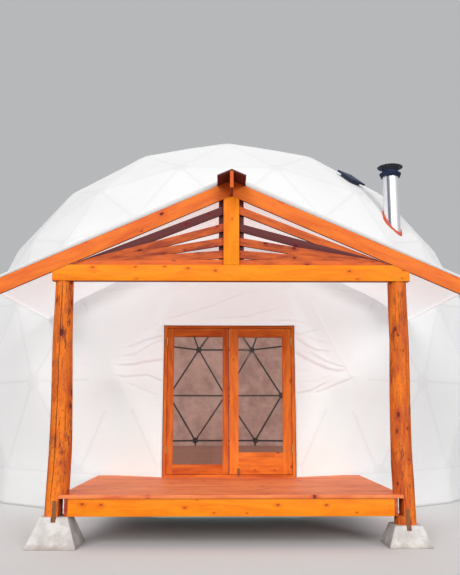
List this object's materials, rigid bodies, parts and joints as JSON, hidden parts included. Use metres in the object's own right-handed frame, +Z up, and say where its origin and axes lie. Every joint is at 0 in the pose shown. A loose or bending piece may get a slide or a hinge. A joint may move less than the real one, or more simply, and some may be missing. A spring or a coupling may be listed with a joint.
{
  "type": "geodesic dome house",
  "caption": "White fabric geodesic dome on a raised round platform, with a cedar porch, fan-slatted gable truss, glazed double doors, stove flue and roof vent.",
  "frame": {"origin": "on the ground, under the middle of the outline box", "axes": "+Z up, +X to the right of someone facing the doors, +Y from the porch towards the back of the dome"},
  "size_m": [10.07, 12.426, 6.898],
  "materials": {
    "cover_fabric": "coated canvas, matt",
    "skirt_fabric": "coated canvas, matt",
    "canopy_fabric": "coated canvas, matt",
    "frame_steel": "galvanised tube, dull",
    "platform_timber": "sawn softwood",
    "truss_cedar": "oiled cedar",
    "slat_cedar": "oiled cedar, darker",
    "deck_cedar": "oiled cedar boards",
    "log_wood": "peeled log, oiled",
    "door_wood": "oiled fir",
    "pane": "clear",
    "hinge_brass": "worn brass",
    "bolt_steel": "zinc plated",
    "pier_concrete": null,
    "flue_steel": "polished stainless",
    "flue_black": "black stove paint",
    "boot_red": "red silicone",
    "vent_black": "dark curb",
    "vent_solar": "solar panel"
  },
  "bodies": {
    "house": {"crown_cover_1": "cover_fabric", "wall_cover_1": "cover_fabric", "crown_cover_2": "cover_fabric", "wall_cover_2": "cover_fabric", "crown_cover_3": "cover_fabric", "wall_cover_3": "cover_fabric", "crown_cover_4": "cover_fabric", "wall_cover_4": "cover_fabric", "crown_cover_5": "cover_fabric", "wall_cover_5": "cover_fabric", "platform_floor": "platform_timber", "platform_rim": "platform_timber", "cover_skirt": "skirt_fabric", "frame_struts_crown": "frame_steel", "frame_struts_wall": "frame_steel", "frame_hubs": "frame_steel", "door_frame": "door_wood", "door_posts": "platform_timber", "frame_knuckles": "hinge_brass", "deck_boards": "deck_cedar", "front_fascia": "truss_cedar", "deck_joists": "truss_cedar", "left_pier_block": "pier_concrete", "right_pier_block": "pier_concrete", "left_log_post": "log_wood", "right_log_post": "log_wood", "post_straps": "bolt_steel", "tie_beam": "truss_cedar", "left_rafter": "truss_cedar", "right_rafter": "truss_cedar", "king_post": "truss_cedar", "slat_nailer": "slat_cedar", "gable_slats": "slat_cedar", "ridge_board": "truss_cedar", "ridge_cap": "slat_cedar", "left_canopy": "canopy_fabric", "right_canopy": "canopy_fabric", "flue_pipe": "flue_steel", "flue_boot": "boot_red", "flue_hat": "flue_black", "roof_vent": "vent_black", "solar_panel": "vent_solar"},
    "left_door": {"left_door_leaf": "door_wood", "left_door_glass": "pane", "left_leaf_knuckles": "hinge_brass"},
    "right_door": {"right_door_leaf": "door_wood", "right_door_glass": "pane", "right_leaf_knuckles": "hinge_brass", "foot_bolt": "bolt_steel"}
  },
  "joints": [
    {"name": "left_door_swing", "type": "hinge", "parent": "house", "child": "left_door", "pos_m": [-0.864, -3.7665, 0.56], "axis": [0, 0, -1], "range_deg": [0, 110]},
    {"name": "right_door_swing", "type": "hinge", "parent": "house", "child": "right_door", "pos_m": [0.864, -3.7665, 0.56], "axis": [0, 0, 1], "range_deg": [0, 110]}
  ]
}
